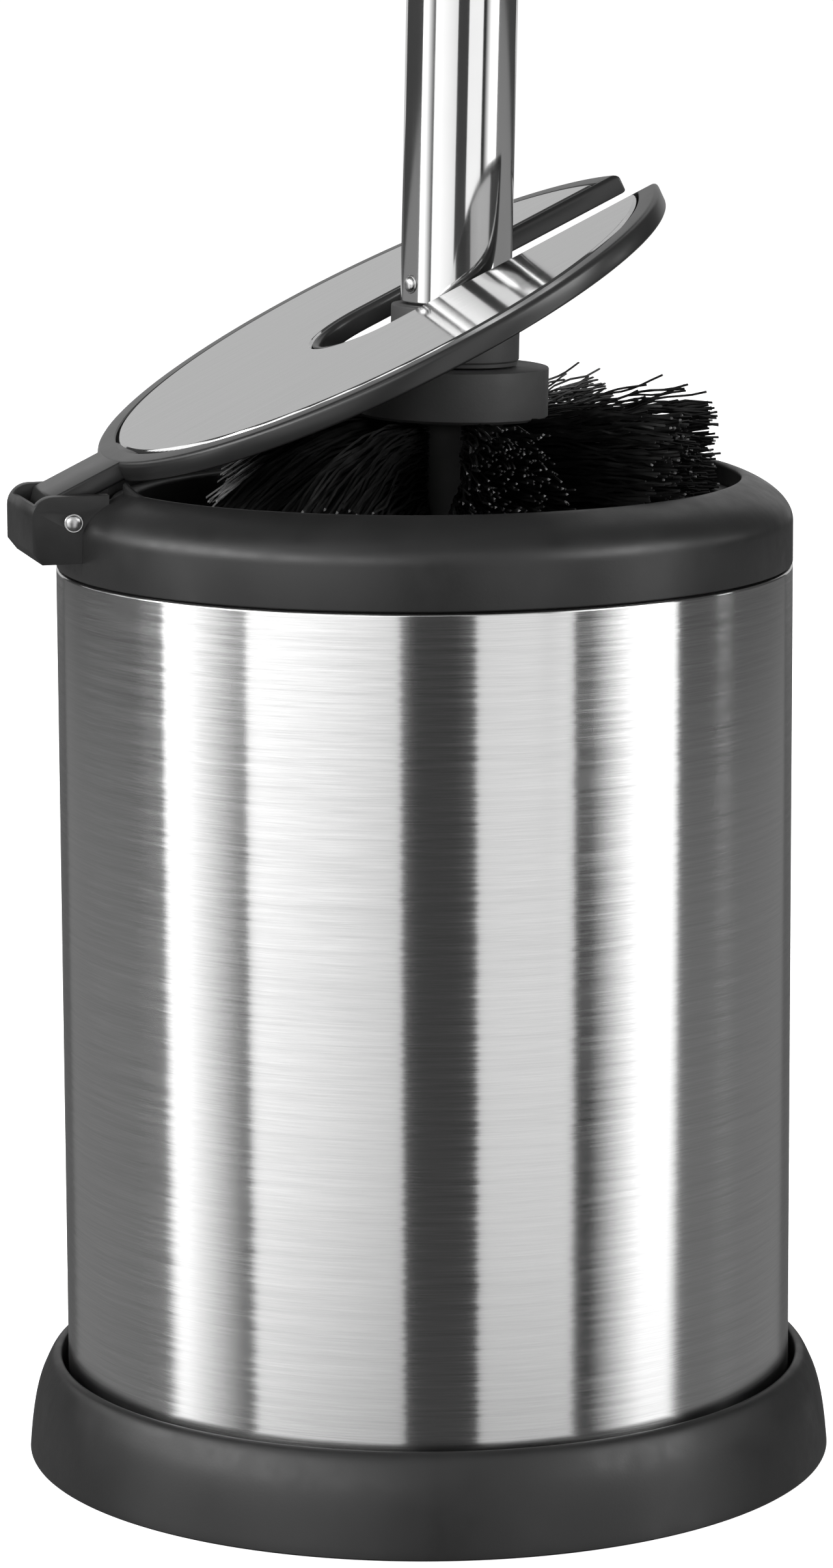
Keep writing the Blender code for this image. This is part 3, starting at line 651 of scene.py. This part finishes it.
def make_handle(steel):
    wall, low = 0.8 * MM, 9.4 * MM
    outline = [(HANDLE_RADIUS, HANDLE_TOP)]
    outline += arc(HANDLE_RADIUS - 0.25 * MM, low + 0.25 * MM, 0.25 * MM, 0.25 * MM, 0, -90, 4)
    outline += [(HANDLE_RADIUS - wall, low), (HANDLE_RADIUS - wall, HANDLE_TOP)]
    tube = to_brush(lathe("handle", outline, steel, 128, 50.0))
    return belongs(tube, BRUSH, "polished_steel", "handle_tube")


def make_handle_cap(steel):
    seat, rise, plug = HANDLE_TOP + 0.3 * MM, 3.2 * MM, 7.15 * MM
    outline = [(0.0, HANDLE_TOP - 12.0 * MM), (plug, HANDLE_TOP - 12.0 * MM), (plug, seat)]
    outline += [(HANDLE_RADIUS - 0.2 * MM, seat), (HANDLE_RADIUS, seat + 0.2 * MM)]
    outline += arc(0.0, seat + 0.8 * MM, HANDLE_RADIUS, rise - 0.8 * MM, 0, 88, 10)
    outline += [(0.0, seat + rise)]
    cap = to_brush(lathe("handle_end", outline, steel, 96))
    return belongs(cap, BRUSH, "polished_steel", "handle_cap")


def make_handle_rivet(steel):
    angle, height = math.radians(200.0), 12.2 * MM
    rivet = lathe("tube_rivet", rivet_outline(0.9 * MM, 1.4 * MM, 0.8 * MM, 8.2 * MM,
                                              4.0 * MM), steel, 40)
    aim(rivet, (0.0, 0.0, height), (math.cos(angle), math.sin(angle), 0.0))
    return belongs(to_brush(rivet), BRUSH, "rivet_steel", "handle_rivet")


def make_neck(plastic):
    radius, top = 9.6 * MM, 9.1 * MM
    outline = [(0.0, 30.0 * MM), (7.1 * MM, 30.0 * MM), (7.1 * MM, top)]
    outline += arc(radius - 0.4 * MM, top - 0.4 * MM, 0.4 * MM, 0.4 * MM, 90, 0, 4)
    outline += [(radius, 1.1 * MM), (radius - 0.25 * MM, 0.8 * MM), (radius - 0.25 * MM, 0.3 * MM)]
    outline += [(3.2 * MM, 0.3 * MM), (3.2 * MM, 7.8 * MM), (0.0, 7.8 * MM)]
    neck = to_brush(lathe("neck", outline, plastic, 96))
    return belongs(neck, BRUSH, "head_plastic", "neck_adapter")


def make_head_core(plastic):
    outline = [(0.0, -CORE_DEPTH), (CORE_RADIUS, -CORE_DEPTH)]
    outline += [(CORE_RADIUS, -DISC_DEPTH - 2.0 * MM)]
    outline += arc(CORE_RADIUS + 2.0 * MM, -DISC_DEPTH - 2.0 * MM, 2.0 * MM, 2.0 * MM,
                   180, 90, 5)[1:]
    outline += [(DISC_RADIUS - 0.4 * MM, -DISC_DEPTH), (DISC_RADIUS, 0.4 * MM - DISC_DEPTH)]
    outline += arc(DISC_RADIUS - 0.25 * MM, -0.25 * MM, 0.25 * MM, 0.25 * MM, 0, 90, 3)
    outline += [(3.2 * MM, 0.0), (3.2 * MM, -16.3 * MM), (0.0, -16.3 * MM)]
    core_piece = to_brush(lathe("head_spindle", outline, plastic, 96))
    return belongs(core_piece, BRUSH, "head_plastic", "head_core")


BRISTLE_ROWS = 8
ROW_PHASE = math.radians(44.0)
ROW_TOP, ROW_BOTTOM = -8.2 * MM, -90.0 * MM
BRISTLE_REACH = 38.9 * MM
HINGE_DROOP = 22.0 * MM
TOP_LEAN = math.radians(2.5)
STRAND_RADIUS = 0.2 * MM
ROOT_RADIUS = 8.3 * MM
ROW_STRANDS, STRAY_STRANDS, END_STRANDS = 1400, 14, 320
# Shares of strands whose cut end is drawn in lighter nylon as a painted glint
PAINTED_GLINT_SHARE, HINGE_PAINTED_GLINT_SHARE, END_PAINTED_GLINT_SHARE = 0.17, 0.42, 0.25
HINGE_SPLAY = 1.5
HINGE_COSINE = -0.3


def strand_points(root, tip, droop, wave, turns, phase, steps):
    """Centre line of one crimped strand from the spindle to its cut end."""
    across = Vector((root.y - tip.y, tip.x - root.x, 0.0)).normalized()
    up = Vector((0.0, 0.0, 1.0))
    points = []
    for step in range(steps + 1):
        t = step / steps
        grow = wave * min(1.0, 2.5 * t)
        swing = grow * math.sin(phase + math.tau * turns * t)
        lift = grow * math.cos(1.7 * phase + math.tau * turns * t)
        points.append(root.lerp(tip, t) + across * swing + up * (lift - droop * t * t))
    # A short last segment past the cut end, which can carry the painted glint
    points.append(points[-1] + (points[-1] - points[-2]).normalized() * 0.35 * MM)
    return points


class Strands:
    """Growing mesh lists of thin three-sided tubes, with a painted glint on some cut ends: their
    last segment and end cap take a lighter nylon.
    """

    def __init__(self):
        self.points, self.faces, self.slots = [], [], []

    def add(self, line, radius, glint_slot):
        start = len(self.points)
        ahead = (line[-1] - line[0]).normalized()
        side = ahead.orthogonal().normalized()
        other = ahead.cross(side)
        turns = [0.3 + math.tau * corner / 3 for corner in range(3)]
        spokes = [(side * math.cos(a) + other * math.sin(a)) * radius for a in turns]
        for centre in line:
            self.points += [centre + spoke for spoke in spokes]
        last = len(line) - 1
        for ring in range(last):
            for i in range(3):
                j = (i + 1) % 3
                low = start + ring * 3
                self.faces.append((low + i, low + j, low + 3 + j, low + 3 + i))
                self.slots.append(glint_slot if ring == last - 1 else 0)
        end = start + 3 * last
        self.faces += [(end, end + 1, end + 2), (start + 2, start + 1, start)]
        self.slots += [glint_slot, 0]

    def piece(self, name, black, glint_tips):
        mesh = bpy.data.meshes.new(name)
        mesh.from_pydata([tuple(p) for p in self.points], [], self.faces)
        made = add_object(name, mesh, [black, glint_tips])
        mesh.polygons.foreach_set("material_index", self.slots)
        mesh.shade_smooth()
        mesh.set_sharp_from_angle(angle=math.radians(70))
        return to_brush(made)


def round_point(radius, angle, height):
    return Vector((radius * math.cos(angle), radius * math.sin(angle), height))


def row_strand(rng, middle):
    """One strand of a row: narrow at the spindle's top, wider and rounded below."""
    height = rng.uniform(ROW_BOTTOM, ROW_TOP)
    depth = ROW_TOP - height
    splay = HINGE_SPLAY if math.cos(middle) < HINGE_COSINE else 1.0
    width = splay * math.radians(7.5 + 9.5 * min(1.0, depth / (15.0 * MM)))
    spread = rng.uniform(-1, 1)
    top_share = max(0.0, 1 - depth / (16.0 * MM))
    angle_tip = middle + width * spread - TOP_LEAN * top_share
    angle_root = middle + math.radians(6.5) * spread
    low_share = max(0.0, 1 - (height - ROW_BOTTOM) / (14.0 * MM))
    reach = BRISTLE_REACH + rng.gauss(0, 0.5) * MM - 9.0 * MM * low_share ** 2
    fan = (height - (ROW_TOP + ROW_BOTTOM) / 2) / (ROW_TOP - ROW_BOTTOM) * 2
    tip_z = height + fan * 2.8 * MM + rng.gauss(0, 1.0) * MM
    hinge_side = max(0.0, -math.cos(angle_tip)) ** 1.6
    upper = max(0.0, 1 - depth / (30.0 * MM))
    droop = HINGE_DROOP * hinge_side * upper + 2.0 * MM * upper * spread * spread
    root = round_point(ROOT_RADIUS, angle_root, height)
    tip = round_point(reach, angle_tip, tip_z)
    wave = rng.uniform(0.15, 0.55) * MM
    return strand_points(root, tip, droop, wave, rng.uniform(1.6, 2.6),
                         rng.uniform(0, math.tau), 8)


def stray_strand(rng, middle):
    """A loose strand that leaves the row's top and rises gently past the others."""
    height = ROW_TOP - rng.uniform(0.0, 2.0) * MM
    angle = middle + math.radians(rng.uniform(-11.0, 11.0))
    root = round_point(ROOT_RADIUS, middle + 0.4 * (angle - middle), height)
    tip = round_point(rng.uniform(28.0, 38.4) * MM, angle,
                      height + rng.uniform(1.5, 6.5) * MM)
    return strand_points(root, tip, 0.0, rng.uniform(0.2, 0.5) * MM,
                         rng.uniform(1.6, 3.0), rng.uniform(0, math.tau), 16)


def make_bristle_row(index, black, glint_tips):
    rng = random.Random(100 + index)
    middle = ROW_PHASE + math.tau * index / BRISTLE_ROWS
    painted_glint_share = PAINTED_GLINT_SHARE if math.cos(middle) > HINGE_COSINE else HINGE_PAINTED_GLINT_SHARE
    strands = Strands()
    for _ in range(ROW_STRANDS):
        strands.add(row_strand(rng, middle), STRAND_RADIUS, 1 if rng.random() < painted_glint_share else 0)
    for _ in range(STRAY_STRANDS if math.cos(middle) > -HINGE_COSINE else 0):
        strands.add(stray_strand(rng, middle), STRAND_RADIUS, 0)
    name = f"bristle_row_{index + 1}"
    return belongs(strands.piece(f"bristles_{index + 1}", black, glint_tips), BRUSH,
                   "black_nylon", name)


def make_end_tuft(black, glint_tips):
    """Short strands that point down below the spindle."""
    rng = random.Random(99)
    strands = Strands()
    bottom = -91.6 * MM
    for _ in range(END_STRANDS):
        angle = rng.uniform(0, math.tau)
        radius = 7.6 * MM * math.sqrt(rng.random())
        root = round_point(radius, angle, 0.5 * MM - CORE_DEPTH)
        drop = bottom + 2.2 * MM * (radius / (8.0 * MM)) ** 2 + rng.gauss(0, 0.25) * MM
        tip = round_point(radius * 1.04, angle, drop)
        line = [root.lerp(tip, step / 3) for step in range(4)]
        strands.add(line, STRAND_RADIUS, 1 if rng.random() < END_PAINTED_GLINT_SHARE else 0)
    piece = strands.piece("bristles_end", black, glint_tips)
    return belongs(piece, BRUSH, "black_nylon", "end_tuft")


# ---------------------------------------------------------------- stage

def emission(name, level):
    made = bpy.data.materials.new(name)
    made.use_nodes = True
    tree = made.node_tree
    tree.nodes.remove(tree.nodes["Principled BSDF"])
    glow = tree.nodes.new("ShaderNodeEmission")
    glow.inputs["Color"].default_value = (1.0, 1.0, 1.0, 1.0)
    glow.inputs["Strength"].default_value = level
    tree.links.new(glow.outputs["Emission"], tree.nodes["Material Output"].inputs["Surface"])
    return made


TOWARDS_CAMERA = math.degrees(CAMERA_AZIMUTH) - 90.0
WALL_RADIUS = 1.6
WALL_MIDDLE_HEIGHT = 0.15
DEGREES_PER_STEP = 3


def glow_by_point():
    """Emission whose strength is read from the mesh, so that a card can fade along its width."""
    made = emission("card_glow", 1.0)
    tree = made.node_tree
    level = tree.nodes.new("ShaderNodeAttribute")
    level.attribute_name = "level"
    glow = next(node for node in tree.nodes if node.type == "EMISSION")
    tree.links.new(level.outputs["Fac"], glow.inputs["Strength"])
    return made


def light_wall(name, glow, span, levels, low, high):
    """An upright glowing card round the object, seen only in reflections.

    Its span is in degrees, to the right of the direction to the camera, and its level
    runs evenly from one end to the other. Low and high are elevations from the object.
    """
    start, end = span
    steps = max(2, int(abs(end - start) / DEGREES_PER_STEP))
    points, faces, values = [], [], []
    for step in range(steps + 1):
        share = step / steps
        turn = math.radians(TOWARDS_CAMERA + start + (end - start) * share)
        for elevation in (low, high):
            points.append((WALL_RADIUS * math.cos(turn), WALL_RADIUS * math.sin(turn),
                           WALL_MIDDLE_HEIGHT + WALL_RADIUS * math.tan(math.radians(elevation))))
            values.append(levels[0] + (levels[1] - levels[0]) * share)
    for step in range(steps):
        faces.append((2 * step, 2 * step + 2, 2 * step + 3, 2 * step + 1))
    mesh = bpy.data.meshes.new(name)
    mesh.from_pydata(points, [], faces)
    mesh.attributes.new("level", "FLOAT", "POINT").data.foreach_set("value", values)
    wall = add_object(name, mesh, glow)
    wall.visible_camera = False
    wall.visible_shadow = False


def make_walls():
    glow = glow_by_point()
    low, middle, high, top = -30.0, -6.2, 12.0, 32.0
    for name, span, levels in (("left_peak", (-86.6, -79.5), (1.9, 1.9)),
                               ("left_fade", (-79.5, -58.0), (1.75, 0.12)),
                               ("front_left", (-55.4, -7.3), (1.42, 0.95)),
                               ("front_right", (15.3, 45.6), (1.08, 1.1)),
                               ("right_fade", (51.5, 68.5), (0.04, 1.8)),
                               ("right_peak", (68.5, 82.6), (1.9, 1.9))):
        light_wall(name, glow, span, levels, low, high)
    for name, span, dim, soft in (("left_side", (-150.0, -86.6), 0.24, 0.06),
                                  ("left_line", (-58.0, -55.4), 0.12, 0.12),
                                  ("front_gap", (-7.3, 15.3), 0.06, 0.05),
                                  ("right_gap", (45.6, 51.5), 0.03, 0.03),
                                  ("right_side", (82.6, 150.0), 0.24, 0.06)):
        light_wall(name + "_low", glow, span, (dim, dim), low, middle)
        light_wall(name + "_high", glow, span, (soft, soft), middle, high)
    for name, span, levels, base, peak in (
            ("back_low", (150.0, 210.0), (0.12, 0.12), low, -3.0),
            ("back_high", (150.0, 210.0), (0.6, 0.6), -3.0, 38.0),
            ("box_left", (-100.0, -60.0), (6.0, 6.0), 13.0, top),
            ("box_left_fade", (-60.0, -5.0), (6.0, 1.8), 12.0, top),
            ("box_right_fade", (42.0, 60.0), (1.2, 6.0), 15.0, top),
            ("box_right", (60.0, 83.0), (7.0, 7.0), 14.0, top),
            ("card_right", (102.0, 109.0), (6.5, 6.5), 8.5, 14.5),
            ("front_high", (-45.0, 75.0), (0.75, 0.75), 32.0, 50.0),
            ("front_fill", (11.0, 36.0), (0.6, 0.9), 12.0, top),
            ("back_slant", (144.0, 168.0), (0.7, 0.7), 34.0, 60.0),
            ("strip_low", (-134.0, -100.0), (1.6, 1.6), 10.0, 24.0)):
        light_wall(name, glow, span, levels, base, peak)
    for step in range(4):
        start, base = -88.0 + 13.0 * step, 32.0 + 10.0 * step
        light_wall(f"strip_{step}", glow, (start, start + 20.0), (1.7, 1.7), base, base + 10.0)


def make_floor():
    size = 8.0
    points = [(-size, -size, 0), (size, -size, 0), (size, size, 0), (-size, size, 0)]
    mesh = bpy.data.meshes.new("floor")
    mesh.from_pydata(points, [], [(0, 1, 2, 3)])
    shader = Shader("floor_white", grey(0.85), 0.9)
    shader.set("Emission Color", (1.0, 1.0, 1.0, 1.0))
    shader.set("Emission Strength", 0.96)
    floor = add_object("floor", mesh, shader.material)
    floor.visible_glossy = False
    floor.visible_diffuse = False


def make_backdrop():
    mesh = bpy.data.meshes.new("backdrop")
    bm = bmesh.new()
    bmesh.ops.create_uvsphere(bm, u_segments=48, v_segments=24, radius=7.5)
    bm.to_mesh(mesh)
    bm.free()
    dome = add_object("backdrop", mesh, emission("backdrop_white", 1.05))
    for ray in ("diffuse", "glossy", "transmission", "volume_scatter", "shadow"):
        setattr(dome, f"visible_{ray}", False)


def make_world():
    world = bpy.data.worlds.new("studio")
    world.use_nodes = True
    shade_node = world.node_tree.nodes["Background"]
    shade_node.inputs["Color"].default_value = (1.0, 1.0, 1.0, 1.0)
    shade_node.inputs["Strength"].default_value = 0.08
    bpy.context.scene.world = world


def area_light(name, place, target, size, power):
    data = bpy.data.lights.new(name, "AREA")
    data.shape = "RECTANGLE"
    data.size, data.size_y = size
    data.energy = power
    lamp = bpy.data.objects.new(name, data)
    bpy.context.scene.collection.objects.link(lamp)
    lamp.location = place
    lamp.rotation_euler = (Vector(target) - Vector(place)).to_track_quat("-Z", "Y").to_euler()
    lamp.visible_camera = False
    lamp.visible_glossy = False


def make_camera():
    forward = Vector((-math.sin(CAMERA_AZIMUTH) * math.cos(CAMERA_PITCH),
                      math.cos(CAMERA_AZIMUTH) * math.cos(CAMERA_PITCH),
                      -math.sin(CAMERA_PITCH)))
    right = Vector((math.cos(CAMERA_AZIMUTH), math.sin(CAMERA_AZIMUTH), 0.0))
    up = right.cross(forward)
    turn = Matrix((right, up, -forward)).transposed() @ Matrix.Rotation(CAMERA_ROLL, 3, "Z")
    data = bpy.data.cameras.new("camera")
    data.lens = CAMERA_LENS
    data.sensor_width = 36.0
    data.shift_x, data.shift_y = CAMERA_SHIFT
    data.clip_start, data.clip_end = 0.05, 30.0
    camera = bpy.data.objects.new("camera", data)
    bpy.context.scene.collection.objects.link(camera)
    camera.matrix_world = turn.to_4x4()
    camera.location = (CAMERA_DISTANCE * math.sin(CAMERA_AZIMUTH),
                       -CAMERA_DISTANCE * math.cos(CAMERA_AZIMUTH), CAMERA_HEIGHT)
    bpy.context.scene.camera = camera


# ---------------------------------------------------------------- assembly

def build():
    steel = brushed_steel()
    charcoal = moulded_plastic("charcoal_plastic", 0.0155, 0.37)
    lid_plastic = moulded_plastic("lid_plastic", 0.02, 0.3, 0.25)
    black = moulded_plastic("black_plastic", 0.012, 0.5)
    head_plastic = moulded_plastic("head_plastic", 0.05, 0.58, 1.4)
    satin = satin_steel()
    polished = polished_steel()
    zinc = small_steel("zinc_steel", 0.6, 0.3)
    rivet = small_steel("rivet_steel", 0.6, 0.3)
    make_shell(steel)
    make_foot(moulded_plastic("foot_plastic", 0.013, 0.42))
    make_collar(charcoal)
    make_bucket(black)
    make_hinge_pin(rivet)
    make_lid_frame(lid_plastic)
    make_lid_arm(lid_plastic)
    make_inlay(satin)
    make_handle(polished)
    make_handle_cap(polished)
    make_handle_rivet(rivet)
    make_neck(head_plastic)
    make_head_core(head_plastic)
    nylon_black = nylon("black_nylon", 0.006, 0.38)
    # Lighter nylon for the painted glints on cut strand ends
    nylon_painted_glint = nylon("nylon_cut_end_painted_glint", 0.16, 0.3)
    for index in range(BRISTLE_ROWS):
        make_bristle_row(index, nylon_black, nylon_painted_glint)
    make_end_tuft(nylon_black, nylon_painted_glint)
    keep = {"anti_slip_ring": rubber(), "bottom_plate": black, "head_stud": zinc}
    for number in (1, 2, 3):
        keep[f"base_screw_{number}"] = zinc
    for node, finish in keep.items():
        for place in frame["nodes"][node].material_slots:
            place.material = finish


bpy.context.scene.view_settings.view_transform = "Standard"
make_camera()
make_world()
make_walls()
make_floor()
make_backdrop()
area_light("top_light", (0.1, -0.3, 1.6), (0.0, 0.0, 0.1), (1.2, 1.2), 6.0)
build()
